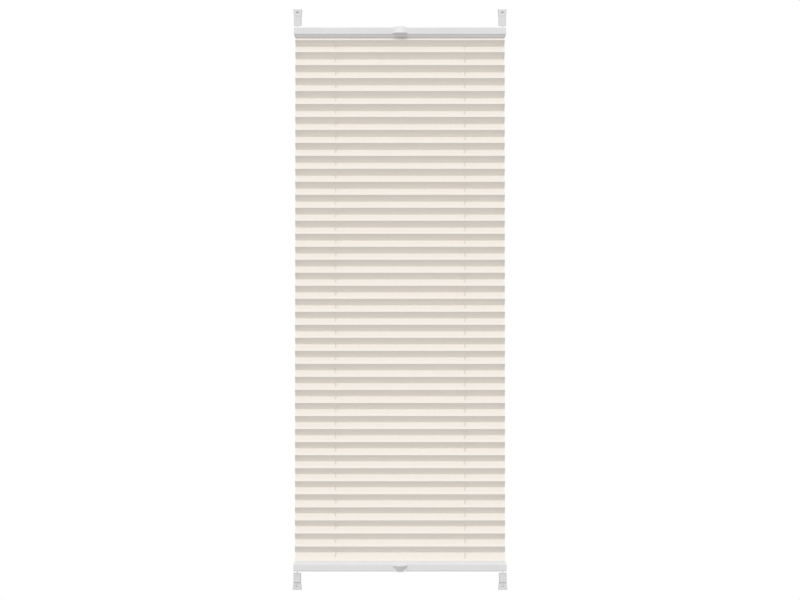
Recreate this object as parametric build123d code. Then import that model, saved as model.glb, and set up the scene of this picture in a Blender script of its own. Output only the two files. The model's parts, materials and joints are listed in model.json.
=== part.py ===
from build123d import *
import math
import os

# Pleated blind held between four screwed shoes, with two rails that slide on two tensioned
# cords. Millimetres. X is to the right, the front faces -Y and Z is up. Y = 0 is the plane
# that the shoes are screwed to, and the origin is the centre of their four screw holes.
# The upper half is modelled and the lower half is its mirror image about the XY plane.

# ---- Pleated cloth
CLOTH_WIDTH = 400.0
PLEAT_COUNT = 40
PLEAT_PITCH = 24.8
PLEAT_PANEL = 20.0
CLOTH_THICKNESS = 0.3

# ---- Rails: hollow bars with a cord chamber outside and a cloth slot on the cloth's side
RAIL_DEPTH = 22.0
RAIL_HEIGHT = 19.0
RAIL_FOOT = 9.4
RAIL_WALL = 1.3
RAIL_EDGE_R = 2.0
SLOT_CHAMBER_TOP = 6.6
SLOT_LIP = 2.1
WALL_CLEARANCE = 1.0
FIRST_FOLD_DROP = 3.3

# ---- Cloth strip, which holds the cloth's end in the rail's slot
STRIP_HEIGHT = 1.9
STRIP_SIDE_GAP = 0.36
FLAP_GAP = 0.05
FLAP_EDGE_GAP = 0.35

# ---- End caps
CAP_LENGTH = 16.2
CAP_OVERHANG = 2.6
CAP_PLUG_LENGTH = 8.0
CAP_PLUG_WALL = 1.4
CAP_FIT = 0.12
CAP_END_WALL = 4.0
CAP_CORNER = 1.2

# ---- Cords and their guide bushes
CORD_D = 1.0
CORD_ROOM = 0.3
CORDS_APART = 0.6
CLOTH_HOLE_ROOM = 0.5
CORD_BEND_R = 3.0
CORD_END_INSET = 4.2
CORD_HOLE_X = 123.2
KNOT_R = 1.6
GUIDE_FLANGE_R = 4.2
GUIDE_FLANGE_HEIGHT = 1.2
GUIDE_BARREL_R = 2.9
GUIDE_FIT = 0.1

# ---- Tension shoes
SHOE_GAP = 2.9
SHOE_LENGTH = 32.9
SHOE_WIDTH = 14.0
SHOE_FLARE_WIDTH = 17.0
SHOE_PLATE = 4.0
SHOE_COVER_LENGTH = 19.3
SHOE_COVER_DEPTH = 12.4
SHOE_EDGE_R = 1.6
SHOE_END_SLOPE = 4.2
SHOE_COVER_GAP = 0.3
SHOE_TAB_DEPTH = 14.6
SHOE_TAB_EDGE_R = 0.6
TONGUE_WIDTH = 7.0
TONGUE_END_INSET = 2.0
TONGUE_START = 5.2
TONGUE_FIT = 0.15
SCREW_HOLE_R = 1.6
SCREW_HEAD_R = 3.2
SCREW_HEAD_DEPTH = 1.6
SCREW_INSET = 7.1
KNOT_SEAT = 5.0
KNOT_ROOM = 0.5
POCKET_WALL = 0.55

# ---- Handles
HANDLE_WIDTH = 28.0
HANDLE_TIP_WIDTH = 15.0
HANDLE_SKIN = 1.3
HANDLE_REACH = 11.0
HANDLE_LIP_THICKNESS = 1.5
HANDLE_LIP_RISE = 0.7
HANDLE_OUTER_HOOK = 10.0
HANDLE_INNER_HOOK = 3.5
HANDLE_TIP_REACH = 1.6
HANDLE_TIP_INSET = 0.6

# ---- Places that follow from the sizes above
MID_Y = -(WALL_CLEARANCE + RAIL_DEPTH / 2)
FRONT_Y = MID_Y - RAIL_DEPTH / 2
PLEAT_HALF_DEPTH = math.sqrt(PLEAT_PANEL**2 - (PLEAT_PITCH / 2) ** 2) / 2
CLOTH_TOP_Z = PLEAT_COUNT * PLEAT_PITCH / 2
RAIL_Z = CLOTH_TOP_Z + FIRST_FOLD_DROP
RAIL_OUTER_Z = RAIL_Z + RAIL_HEIGHT
BAR_HALF = RAIL_DEPTH / 2
RAIL_BEVEL = BAR_HALF - RAIL_FOOT / 2
SLOT_HALF = RAIL_FOOT / 2 - SLOT_LIP
CHAMBER_FLOOR = SLOT_CHAMBER_TOP + RAIL_WALL
CHAMBER_TOP = RAIL_HEIGHT - RAIL_WALL
CORD_LEVEL_Z = RAIL_Z + (CHAMBER_FLOOR + CHAMBER_TOP) / 2
CAP_END_X = CLOTH_WIDTH / 2 + CAP_OVERHANG
RAIL_END_X = CAP_END_X - CAP_LENGTH
CORD_END_X = CLOTH_WIDTH / 2 - CORD_END_INSET
SHOE_INNER_Z = RAIL_OUTER_Z + SHOE_GAP
SHOE_OUTER_Z = SHOE_INNER_Z + SHOE_LENGTH
SCREW_Z = SHOE_OUTER_Z - SCREW_INSET
KNOT_Z = SHOE_INNER_Z + KNOT_SEAT + KNOT_R
CORD_OFFSET = (CORD_D + CORDS_APART) / 2
CORD_BORE_R = CORD_OFFSET + CORD_D / 2 + CORD_ROOM
CLOTH_HOLE_R = CORD_OFFSET + CORD_D / 2 + CLOTH_HOLE_ROOM
KNOT_POCKET_R = KNOT_R + KNOT_ROOM
TONGUE_FRONT_Y = MID_Y + CORD_OFFSET + KNOT_POCKET_R + POCKET_WALL + TONGUE_FIT
GROOVE_HALF = SLOT_HALF - FLAP_EDGE_GAP / 2
GROOVE_HEIGHT = CLOTH_THICKNESS + 2 * FLAP_GAP
FLAP_Z = RAIL_Z + RAIL_WALL + GROOVE_HEIGHT / 2
FLAP_Y = MID_Y - SLOT_HALF + FLAP_EDGE_GAP + CLOTH_THICKNESS / 2


def block(x, y, z):
    """A box between two X, two Y and two Z values."""
    return Pos((x[0] + x[1]) / 2, (y[0] + y[1]) / 2, (z[0] + z[1]) / 2) * Box(
        abs(x[1] - x[0]), abs(y[1] - y[0]), abs(z[1] - z[0])
    )


def upright(x, y, radius, z):
    """A vertical cylinder between two Z values."""
    return Pos(x, y, (z[0] + z[1]) / 2) * Cylinder(radius, z[1] - z[0])


def side_profile(points, half_length, middle_x=0.0):
    """A prism along X of an outline given as (depth from the mid plane, height in the rail)."""
    outline = [(MID_Y + u, RAIL_Z + v) for u, v in points]
    plane = Plane(origin=(middle_x, 0, 0), x_dir=(0, 1, 0), z_dir=(1, 0, 0))
    return extrude(plane * make_face(Polyline(*outline, close=True)), half_length, both=True)


def front_outline(points, y):
    """A prism along Y, between two Y values, of an outline given as (x, z)."""
    plane = Plane(origin=(0, y[1], 0), x_dir=(1, 0, 0), z_dir=(0, -1, 0))
    return extrude(plane * make_face(Polyline(*points, close=True)), y[1] - y[0])


def mirrored_points(points):
    """An outline's points followed by their mirror images, for an outline symmetrical in depth."""
    return points + [(-u, v) for u, v in reversed(points)]


def below(solid):
    """The mirror image in the lower half."""
    return mirror(solid, about=Plane.XY)


def save(solid, name):
    """Writes one sub-part to its own STEP file."""
    solid.label = name
    export_step(solid, f"parts/{name}.step")


# ---- Rail


def bar_outline(inset=0.0):
    """The rail's outline, moved inwards by an even distance all round."""
    foot_half = RAIL_FOOT / 2 - inset * (math.sqrt(2) - 1)
    side = BAR_HALF - inset
    corners = [(-foot_half, inset), (-side, inset + side - foot_half), (-side, RAIL_HEIGHT - inset)]
    return mirrored_points(corners)


def inside_bar(inset, heights, x):
    """A prism inside the rail's outline, between two heights in the rail and two X values."""
    solid = side_profile(bar_outline(inset), (x[1] - x[0]) / 2, (x[0] + x[1]) / 2)
    depth = (MID_Y - BAR_HALF, MID_Y + BAR_HALF)
    return solid & block(x, depth, (RAIL_Z + heights[0], RAIL_Z + heights[1]))


def bar(half_length, middle_x=0.0):
    """The rail's solid outer shape, with its two outer edges rounded."""
    solid = side_profile(bar_outline(), half_length, middle_x)
    edges = solid.edges().filter_by(Axis.X).sort_by(Axis.Z)[-2:]
    return fillet(edges, RAIL_EDGE_R)


def rail():
    """Hollow bar with a web between its cord chamber and its cloth slot."""
    span = (-RAIL_END_X, RAIL_END_X)
    slot = (MID_Y - SLOT_HALF, MID_Y + SLOT_HALF)
    solid = bar(RAIL_END_X)
    solid -= inside_bar(RAIL_WALL, (RAIL_WALL, SLOT_CHAMBER_TOP), span)
    solid -= inside_bar(RAIL_WALL, (CHAMBER_FLOOR, CHAMBER_TOP), span)
    solid -= block(span, slot, (RAIL_Z, RAIL_Z + RAIL_WALL))
    for x in (-CORD_HOLE_X, CORD_HOLE_X):
        web = (RAIL_Z + SLOT_CHAMBER_TOP, RAIL_Z + CHAMBER_FLOOR)
        solid -= upright(x, MID_Y, GUIDE_BARREL_R + GUIDE_FIT, web)
    return solid


# ---- Cloth strip and cord guides


def cloth_strip():
    """Flat strip on the slot's lips, with the cloth's end glued in the groove below it."""
    foot = RAIL_Z + RAIL_WALL
    half = RAIL_FOOT / 2 - RAIL_WALL * (math.sqrt(2) - 1) - STRIP_SIDE_GAP
    span = (-RAIL_END_X, RAIL_END_X)
    solid = block(span, (MID_Y - half, MID_Y + half), (foot, foot + STRIP_HEIGHT))
    solid -= block(span, (MID_Y - GROOVE_HALF, MID_Y + GROOVE_HALF), (foot, foot + GROOVE_HEIGHT))
    for x in (-CORD_HOLE_X, CORD_HOLE_X):
        solid -= upright(x, MID_Y, CLOTH_HOLE_R, (foot, foot + STRIP_HEIGHT))
    return solid


def cord_guide(x):
    """Flanged bush that stands in the rail's web and leads a cord down to the cloth."""
    seat = RAIL_Z + CHAMBER_FLOOR
    barrel_end = RAIL_Z + RAIL_WALL + STRIP_HEIGHT + GUIDE_FIT
    mouth = seat + GUIDE_FLANGE_HEIGHT
    solid = upright(x, MID_Y, GUIDE_FLANGE_R, (seat, mouth))
    solid += upright(x, MID_Y, GUIDE_BARREL_R, (barrel_end, seat))
    solid -= upright(x, MID_Y, CORD_BORE_R, (barrel_end, mouth))
    rim = solid.edges().filter_by(GeomType.CIRCLE).group_by(Axis.Z)[-1]
    return chamfer(rim, GUIDE_FLANGE_HEIGHT / 3)


# ---- End cap


def end_cap_right():
    """Right end of the rail: a shell that carries on the bar's shape, and a plug in its chamber."""
    middle = (RAIL_END_X + CAP_END_X) / 2
    solid = bar(CAP_LENGTH / 2, middle)
    silhouette = [
        (RAIL_END_X, RAIL_Z),
        (CAP_END_X - CAP_OVERHANG, RAIL_Z),
        (CAP_END_X - CAP_OVERHANG * 0.45, RAIL_Z + RAIL_BEVEL * 0.35),
        (CAP_END_X, RAIL_Z + RAIL_BEVEL),
        (CAP_END_X, RAIL_OUTER_Z - CAP_CORNER),
        (CAP_END_X - CAP_CORNER, RAIL_OUTER_Z),
        (RAIL_END_X, RAIL_OUTER_Z),
    ]
    solid &= front_outline(silhouette, (FRONT_Y - 1, FRONT_Y + RAIL_DEPTH + 1))
    plug_start = RAIL_END_X - CAP_PLUG_LENGTH
    plug_room = RAIL_WALL + CAP_FIT
    plug_heights = (CHAMBER_FLOOR + CAP_FIT, CHAMBER_TOP - CAP_FIT)
    solid += inside_bar(plug_room, plug_heights, (plug_start, RAIL_END_X))
    hollow_heights = (plug_heights[0] + CAP_PLUG_WALL, plug_heights[1] - CAP_PLUG_WALL)
    solid -= inside_bar(plug_room + CAP_PLUG_WALL, hollow_heights, (plug_start, CAP_END_X - CAP_END_WALL))
    solid -= block(
        (RAIL_END_X, CLOTH_WIDTH / 2 + CAP_FIT),
        (MID_Y - GROOVE_HALF, MID_Y + GROOVE_HALF),
        (RAIL_Z, RAIL_Z + RAIL_WALL + GROOVE_HEIGHT),
    )
    solid -= upright(CORD_END_X, MID_Y, CORD_BORE_R, (CORD_LEVEL_Z, RAIL_OUTER_Z))
    return solid


# ---- Handle


def half_moon(half, reach, z):
    """A flat half moon that stands out from the handle's skin at one height."""
    arc = ThreePointArc((half, 0), (0, -reach), (-half, 0))
    return Plane(origin=(0, FRONT_Y - HANDLE_SKIN / 2, z)) * make_face(Polyline((-half, 0), (half, 0)) + arc)


def handle():
    """Clip-on grip at the middle of the rail: a half-moon lip on the cloth's side that tapers away."""
    half = HANDLE_WIDTH / 2
    tip = HANDLE_TIP_WIDTH / 2
    top = RAIL_HEIGHT + HANDLE_SKIN
    slant = HANDLE_SKIN / math.sqrt(2)
    skin = -BAR_HALF - HANDLE_SKIN
    corner = RAIL_BEVEL - HANDLE_SKIN * (math.sqrt(2) - 1)
    hook_end = (-BAR_HALF + HANDLE_INNER_HOOK, RAIL_BEVEL - HANDLE_INNER_HOOK)
    saddle = [
        (-BAR_HALF, RAIL_HEIGHT),
        (-BAR_HALF + HANDLE_OUTER_HOOK, RAIL_HEIGHT),
        (-BAR_HALF + HANDLE_OUTER_HOOK, top),
        (skin, top),
        (skin, corner),
        (hook_end[0] - slant, hook_end[1] - slant),
        hook_end,
        (-BAR_HALF, RAIL_BEVEL),
    ]
    clip = side_profile(saddle, half)
    lip_z = RAIL_Z + RAIL_BEVEL + HANDLE_LIP_RISE
    lip_end_z = lip_z + HANDLE_LIP_THICKNESS
    face_half = half - HANDLE_SKIN
    outline = [
        (-half, RAIL_Z),
        (-half, lip_end_z),
        (-face_half, RAIL_OUTER_Z - HANDLE_SKIN),
        (-tip, RAIL_Z + top),
        (tip, RAIL_Z + top),
        (face_half, RAIL_OUTER_Z - HANDLE_SKIN),
        (half, lip_end_z),
        (half, RAIL_Z),
    ]
    reach = FRONT_Y - HANDLE_REACH
    back = FRONT_Y + HANDLE_OUTER_HOOK
    clip &= front_outline(outline, (reach, back))
    lip = extrude(half_moon(half, HANDLE_REACH, lip_z), HANDLE_LIP_THICKNESS)
    tip_z = RAIL_OUTER_Z - HANDLE_TIP_INSET
    grip = loft([half_moon(half, HANDLE_REACH, lip_end_z), half_moon(tip, HANDLE_TIP_REACH, tip_z)])
    return clip + lip + grip


# ---- Tension shoe


def shoe_slope(x):
    """What is cut from the rail's side of a shoe, so that its end slopes away towards its back."""
    low, depth = SHOE_INNER_Z - RAIL_Z, SHOE_PLATE + SHOE_COVER_DEPTH
    back = -MID_Y
    end = [(back - depth, low), (back, low), (back, low + SHOE_END_SLOPE)]
    return side_profile(end, SHOE_FLARE_WIDTH, x)


def shoe_base(x):
    """Screwed plate with a deep flared tab, a countersunk bore and the tongue that its cover slides on."""
    half = SHOE_WIDTH / 2
    flare = SHOE_FLARE_WIDTH / 2
    tab_z = SHOE_INNER_Z + SHOE_COVER_LENGTH
    outline = [
        (x - half, SHOE_INNER_Z),
        (x - half, tab_z),
        (x - flare, SHOE_OUTER_Z - SHOE_EDGE_R),
        (x - flare, SHOE_OUTER_Z),
        (x + flare, SHOE_OUTER_Z),
        (x + flare, SHOE_OUTER_Z - SHOE_EDGE_R),
        (x + half, tab_z),
        (x + half, SHOE_INNER_Z),
    ]
    solid = front_outline(outline, (-SHOE_PLATE, 0))
    solid += block(
        (x - TONGUE_WIDTH / 2, x + TONGUE_WIDTH / 2),
        (TONGUE_FRONT_Y, -SHOE_PLATE),
        (SHOE_INNER_Z + TONGUE_START, tab_z - TONGUE_END_INSET),
    )
    solid -= shoe_slope(x)
    tab = front_outline(outline, (-SHOE_TAB_DEPTH, 0))
    tab &= block((x - flare, x + flare), (-SHOE_TAB_DEPTH, 0), (tab_z + SHOE_COVER_GAP, SHOE_OUTER_Z))
    solid += fillet(tab.faces().sort_by(Axis.Y)[0].edges(), SHOE_TAB_EDGE_R)
    drill = Plane(origin=(x, 0, SCREW_Z), z_dir=(0, -1, 0))
    solid -= extrude(drill * Circle(SCREW_HOLE_R), SHOE_TAB_DEPTH)
    head = Plane(origin=(x, -SHOE_TAB_DEPTH + SCREW_HEAD_DEPTH / 2, SCREW_Z), z_dir=(0, -1, 0))
    solid -= head * Cone(SCREW_HOLE_R, SCREW_HEAD_R, SCREW_HEAD_DEPTH)
    return solid


def shoe_cover(x, cord_y):
    """Tension block that slides on the shoe's tongue and holds the cord's knot in a pocket."""
    tab_z = SHOE_INNER_Z + SHOE_COVER_LENGTH
    half = SHOE_WIDTH / 2
    front = -SHOE_PLATE - SHOE_COVER_DEPTH
    solid = block((x - half, x + half), (front, -SHOE_PLATE), (SHOE_INNER_Z, tab_z))
    front_edges = solid.faces().sort_by(Axis.Y)[0].edges()
    solid = fillet(front_edges, SHOE_EDGE_R) - shoe_slope(x)
    room = TONGUE_WIDTH / 2 + TONGUE_FIT
    solid -= block(
        (x - room, x + room),
        (TONGUE_FRONT_Y - TONGUE_FIT, -SHOE_PLATE),
        (SHOE_INNER_Z + TONGUE_START - TONGUE_FIT, tab_z),
    )
    solid -= upright(x, cord_y, CORD_D / 2 + CORD_ROOM, (SHOE_INNER_Z, tab_z))
    solid -= upright(x, cord_y, KNOT_POCKET_R, (SHOE_INNER_Z + KNOT_SEAT, tab_z))
    return solid


# ---- Cords


def cord(end_x, through_x, y):
    """One cord from the knot in its upper shoe, along the upper rail, down through the cloth,
    back along the lower rail and to the knot in its lower shoe."""
    route = [
        (end_x, y, KNOT_Z),
        (end_x, y, CORD_LEVEL_Z),
        (through_x, y, CORD_LEVEL_Z),
        (through_x, y, -CORD_LEVEL_Z),
        (end_x, y, -CORD_LEVEL_Z),
        (end_x, y, -KNOT_Z),
    ]
    path = FilletPolyline(*route, radius=CORD_BEND_R)
    section = Plane(origin=path @ 0, z_dir=path % 0) * Circle(CORD_D / 2)
    strand = sweep(section, path=path)
    ideal = math.pi * (CORD_D / 2) ** 2 * path.length
    print(f"cord: length {path.length:.1f}, bends {CORD_BEND_R}, volume {strand.volume:.1f} of {ideal:.1f}")
    for z in (KNOT_Z, -KNOT_Z):
        strand += Pos(end_x, y, z) * Sphere(KNOT_R)
    return strand


# ---- Pleated cloth


def ribbon(points, thickness):
    """A closed outline of even thickness about a line of (y, z) points, mitred at its folds."""
    left, right = [], []
    last = len(points) - 1
    for i, (y, z) in enumerate(points):
        before = points[max(i - 1, 0)]
        after = points[min(i + 1, last)]
        into = (y - before[0], z - before[1]) if i > 0 else (after[0] - y, after[1] - z)
        out = (after[0] - y, after[1] - z) if i < last else into
        a = math.atan2(into[1], into[0])
        b = math.atan2(out[1], out[0])
        turn = math.remainder(b - a, 2 * math.pi) / 2
        reach = thickness / 2 / math.cos(turn)
        across = a + turn + math.pi / 2
        left.append((y + reach * math.cos(across), z + reach * math.sin(across)))
        right.append((y - reach * math.cos(across), z - reach * math.sin(across)))
    return left + right[::-1]


def cloth():
    """One sheet folded into pleats, with an end flap in each rail's slot and the cords' holes."""
    flap_back = MID_Y + SLOT_HALF - 2 * FLAP_EDGE_GAP
    start = [(flap_back, FLAP_Z), (FLAP_Y, FLAP_Z), (FLAP_Y, RAIL_Z - 2 * CLOTH_THICKNESS)]
    folds = []
    for i in range(2 * PLEAT_COUNT + 1):
        side = -1 if i % 2 == 0 else 1
        folds.append((MID_Y + side * PLEAT_HALF_DEPTH, CLOTH_TOP_Z - i * PLEAT_PITCH / 2))
    end = [(y, -z) for y, z in reversed(start)]
    outline = ribbon(start + folds + end, CLOTH_THICKNESS)
    plane = Plane(origin=(0, 0, 0), x_dir=(0, 1, 0), z_dir=(1, 0, 0))
    sheet = extrude(plane * make_face(Polyline(*outline, close=True)), CLOTH_WIDTH / 2, both=True)
    for x in (-CORD_HOLE_X, CORD_HOLE_X):
        sheet -= upright(x, MID_Y, CLOTH_HOLE_R, (-RAIL_OUTER_Z, RAIL_OUTER_Z))
    return sheet


# ---- Build

os.makedirs("parts", exist_ok=True)

upper_parts = {"rail": rail(), "cloth_strip": cloth_strip(), "handle": handle()}
for side, sign in (("left", -1), ("right", 1)):
    cap = end_cap_right()
    upper_parts[f"end_cap_{side}"] = cap if sign > 0 else mirror(cap, about=Plane.YZ)
    upper_parts[f"cord_guide_{side}"] = cord_guide(sign * CORD_HOLE_X)
    cord_y = MID_Y + sign * CORD_OFFSET
    upper_parts[f"shoe_base_{side}"] = shoe_base(sign * CORD_END_X)
    upper_parts[f"shoe_cover_{side}"] = shoe_cover(sign * CORD_END_X, cord_y)
    save(cord(sign * CORD_END_X, -sign * CORD_HOLE_X, cord_y), f"cord_{side}")

for part_name, part in upper_parts.items():
    save(below(part), f"bottom_{part_name}")
    save(part, f"top_{part_name}")

save(cloth(), "pleated_cloth")
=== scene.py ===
"""Looks of a tensioned pleated blind: folded cloth, coated rails, mouldings and braided cords."""

from __future__ import annotations

import json
import logging
import math

from dataclasses import dataclass
from enum import Enum
from itertools import accumulate, pairwise

import bmesh
import bpy
from bpy.types import bpy_prop_collection, ID, Material, Mesh, Node, NodeSocket, NodeTree, Object
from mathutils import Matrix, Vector


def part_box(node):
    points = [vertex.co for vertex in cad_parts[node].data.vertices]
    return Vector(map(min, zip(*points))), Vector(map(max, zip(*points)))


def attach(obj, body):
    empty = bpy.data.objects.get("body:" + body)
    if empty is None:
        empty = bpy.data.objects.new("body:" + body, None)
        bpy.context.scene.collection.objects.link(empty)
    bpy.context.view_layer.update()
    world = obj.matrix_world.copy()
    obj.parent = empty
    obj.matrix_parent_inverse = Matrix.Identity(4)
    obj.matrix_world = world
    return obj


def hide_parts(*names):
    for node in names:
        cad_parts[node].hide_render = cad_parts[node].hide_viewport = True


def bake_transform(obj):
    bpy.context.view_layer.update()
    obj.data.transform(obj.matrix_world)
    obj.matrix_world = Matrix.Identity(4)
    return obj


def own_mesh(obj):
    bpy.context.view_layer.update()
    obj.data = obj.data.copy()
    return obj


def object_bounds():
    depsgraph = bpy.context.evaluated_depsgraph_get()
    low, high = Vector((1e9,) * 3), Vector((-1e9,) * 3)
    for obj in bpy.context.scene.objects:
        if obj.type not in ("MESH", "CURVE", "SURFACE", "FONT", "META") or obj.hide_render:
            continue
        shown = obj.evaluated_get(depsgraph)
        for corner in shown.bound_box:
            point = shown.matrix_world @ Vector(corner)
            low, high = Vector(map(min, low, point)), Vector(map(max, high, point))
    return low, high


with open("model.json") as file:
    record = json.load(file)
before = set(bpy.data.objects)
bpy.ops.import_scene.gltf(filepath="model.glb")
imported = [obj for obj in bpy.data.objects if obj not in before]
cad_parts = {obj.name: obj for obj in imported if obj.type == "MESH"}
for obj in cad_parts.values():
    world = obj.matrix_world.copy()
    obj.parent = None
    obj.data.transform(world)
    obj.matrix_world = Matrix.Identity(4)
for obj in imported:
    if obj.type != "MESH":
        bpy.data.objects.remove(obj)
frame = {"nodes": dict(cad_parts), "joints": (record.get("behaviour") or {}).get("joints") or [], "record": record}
CAD_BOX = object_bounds()
CAD_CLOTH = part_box("pleated_cloth")
CLOTH_MIDDLE = (CAD_CLOTH[0].y + CAD_CLOTH[1].y) / 2

log = logging.getLogger("pleated_blind")

MM = 0.001
OPAQUE = 1.0
WHITE = (1.0, 1.0, 1.0, OPAQUE)
Colour = tuple[float, float, float]
Point = tuple[float, float, float]


class Body(Enum):
    """The bodies of the frame that pieces ride on."""

    WINDOW = "root"
    UPPER_RAIL = "upper_rail"
    LOWER_RAIL = "lower_rail"


class End(Enum):
    """The two ends of the blind, with the sign of their height."""

    TOP = 1
    BOTTOM = -1

    @property
    def word(self) -> str:
        """The end's name as the frame's nodes give it."""
        return self.name.lower()

    @property
    def body(self) -> Body:
        """The rail's body at this end."""
        return Body.UPPER_RAIL if self is End.TOP else Body.LOWER_RAIL

    @property
    def joint(self) -> str:
        """The slide of the rail at this end."""
        return f"{self.word}_rail_slide"

    @property
    def travel(self) -> float:
        """How far the rail at this end slides."""
        slide = next(joint for joint in frame["joints"] if joint["name"] == self.joint)
        return max(abs(limit) for limit in slide["range_m"])


class Side(Enum):
    """The two sides of the blind, with the sign of their X."""

    LEFT = -1
    RIGHT = 1

    @property
    def word(self) -> str:
        """The side's name as the frame's nodes give it."""
        return self.name.lower()

    @property
    def other(self) -> Side:
        """The opposite side."""
        return Side.LEFT if self is Side.RIGHT else Side.RIGHT


# ---- Node trees

FLOAT = "NodeSocketFloat"
WHOLE = "NodeSocketInt"
VECTOR = "NodeSocketVector"
SHAPE = "NodeSocketGeometry"
MATERIAL = "NodeSocketMaterial"

# Sockets whose names occur more than once on their node, by number.
MIX_COLOURS = (6, 7)
MIX_RESULT = 2
TRIM_START, TRIM_END = 4, 5

# How near two whole numbers must be to count as the same.
SAME = 0.5


class Graph:
    """Adds nodes to one tree and wires them."""

    def __init__(self, tree: NodeTree) -> None:
        """Keeps the shader or geometry tree that the nodes go into."""
        self.tree = tree

    def add(
        self, kind: str, inputs: dict[str | int, object] | None = None, **settings: object
    ) -> Node:
        """Adds one node.

        Args:
            kind: the node's type name.
            inputs: a value or an output socket for each named or numbered input.
            settings: the node's own properties.

        Returns:
            The new node.
        """
        node = self.tree.nodes.new(kind)
        for key, value in settings.items():
            setattr(node, key, value)
        for key, value in (inputs or {}).items():
            if isinstance(value, NodeSocket):
                self.wire(value, node.inputs[key])
            else:
                node.inputs[key].default_value = value
        return node

    def wire(self, source: NodeSocket, target: NodeSocket) -> None:
        """Joins an output to an input."""
        self.tree.links.new(source, target)

    def maths(self, operation: str, *values: object) -> NodeSocket:
        """Adds one sum of numbers and sockets, and gives its result."""
        kind = "ShaderNodeMath"
        return self.add(kind, dict(enumerate(values)), operation=operation).outputs[0]

    def vector(self, **parts: object) -> NodeSocket:
        """Joins the given X, Y and Z into one vector, with 0 for those that are left out."""
        return self.add("ShaderNodeCombineXYZ", parts).outputs[0]

    def parts(self, vector: NodeSocket) -> bpy_prop_collection:
        """Splits a vector into its X, Y and Z."""
        return self.add("ShaderNodeSeparateXYZ", {0: vector}).outputs

    def mapped(self, geometry: NodeSocket, place: NodeSocket) -> NodeSocket:
        """Stores a surface's UV map.

        Args:
            geometry: the surface.
            place: where each corner lies on the flat cloth or braid, in metres.

        Returns:
            The surface with its map.
        """
        stored = self.add(
            "GeometryNodeStoreNamedAttribute",
            {"Geometry": geometry, "Name": "UVMap", "Value": place},
            data_type="FLOAT2",
            domain="CORNER",
        )
        return stored.outputs[0]

    def give_shape(self, shape: NodeSocket, given: Node, out: Node, smooth: bool) -> None:
        """Ends a geometry tree with its shape shaded, made real and given its material.

        Args:
            shape: the surface that the tree makes.
            given: the tree's input node.
            out: the tree's output node.
            smooth: whether the shading runs on over the edges.
        """
        shaded = self.add("GeometryNodeSetShadeSmooth", {"Geometry": shape, "Shade Smooth": smooth})
        real = self.add("GeometryNodeRealizeInstances", {0: shaded.outputs[0]})
        material = given.outputs["Material"]
        dressed = self.add("GeometryNodeSetMaterial", {0: real.outputs[0], "Material": material})
        self.wire(dressed.outputs[0], out.inputs[0])

    def ports(self, inputs: dict[str, str], outputs: dict[str, str]) -> tuple:
        """Gives a group its named sockets.

        Args:
            inputs: each input's name and socket type.
            outputs: each output's name and socket type.

        Returns:
            The group's input node and output node.
        """
        for name, kind in inputs.items():
            self.tree.interface.new_socket(name, in_out="INPUT", socket_type=kind)
        for name, kind in outputs.items():
            self.tree.interface.new_socket(name, in_out="OUTPUT", socket_type=kind)
        return self.add("NodeGroupInput"), self.add("NodeGroupOutput")


SLUB_DETAIL = 3.0
# How much darker the low places between threads are painted: painted shade.
PAINTED_GAP_SHADE = 0.5
SHADE_BY_SLUB = 0.5
GRAIN_DETAIL = 4.0
TONE_DETAIL = 2.0


def thread_weave() -> NodeTree:
    """Plain weave, one thread over and one under, with uneven threads and painted shade between them.

    Returns:
        A shader group from surface coordinates in metres to a height and a shade.
    """
    tree = bpy.data.node_groups.new("thread_weave", "ShaderNodeTree")
    graph = Graph(tree)
    ports = {"Vector": VECTOR, "Spacing": FLOAT, "Slub Scale": FLOAT}
    given, out = graph.ports(ports, {"Height": FLOAT, "Shade": FLOAT})
    get = given.outputs
    place = graph.parts(get["Vector"])
    waves = []
    for axis in (0, 1):
        threads = graph.maths("DIVIDE", place[axis], get["Spacing"])
        waves.append(graph.maths("SINE", graph.maths("MULTIPLY", threads, math.pi)))
    warp_on_top = graph.maths("GREATER_THAN", graph.maths("MULTIPLY", *waves), 0.0)
    warp, weft = [graph.maths("ABSOLUTE", wave) for wave in waves]
    lift = graph.maths("MULTIPLY", graph.maths("SUBTRACT", warp, weft), warp_on_top)
    height = graph.maths("ADD", weft, lift)
    slub = graph.add(
        "ShaderNodeTexNoise",
        {"Vector": get["Vector"], "Scale": get["Slub Scale"], "Detail": SLUB_DETAIL},
    )
    uneven = graph.maths("MULTIPLY", slub.outputs[0], SHADE_BY_SLUB)
    # Painted shade: the low places between the threads are darker; the slub adds the threads' own uneven tone.
    shade = graph.maths("ADD", graph.maths("MULTIPLY", height, PAINTED_GAP_SHADE), uneven)
    graph.wire(height, out.inputs["Height"])
    graph.wire(shade, out.inputs["Shade"])
    return tree


def fine_grain() -> NodeTree:
    """The faint texture of a moulded or coated surface.

    Returns:
        A shader group from coordinates to a grain height and a slow change of tone.
    """
    tree = bpy.data.node_groups.new("fine_grain", "ShaderNodeTree")
    graph = Graph(tree)
    ports = {"Vector": VECTOR, "Grain Scale": FLOAT, "Tone Scale": FLOAT}
    given, out = graph.ports(ports, {"Height": FLOAT, "Tone": FLOAT})
    get = given.outputs
    textures = (("Height", "Grain Scale", GRAIN_DETAIL), ("Tone", "Tone Scale", TONE_DETAIL))
    for port, scale, detail in textures:
        noise = graph.add(
            "ShaderNodeTexNoise",
            {"Vector": get["Vector"], "Scale": get[scale], "Detail": detail},
        )
        graph.wire(noise.outputs[0], out.inputs[port])
    return tree


# ---- Finishes


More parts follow.
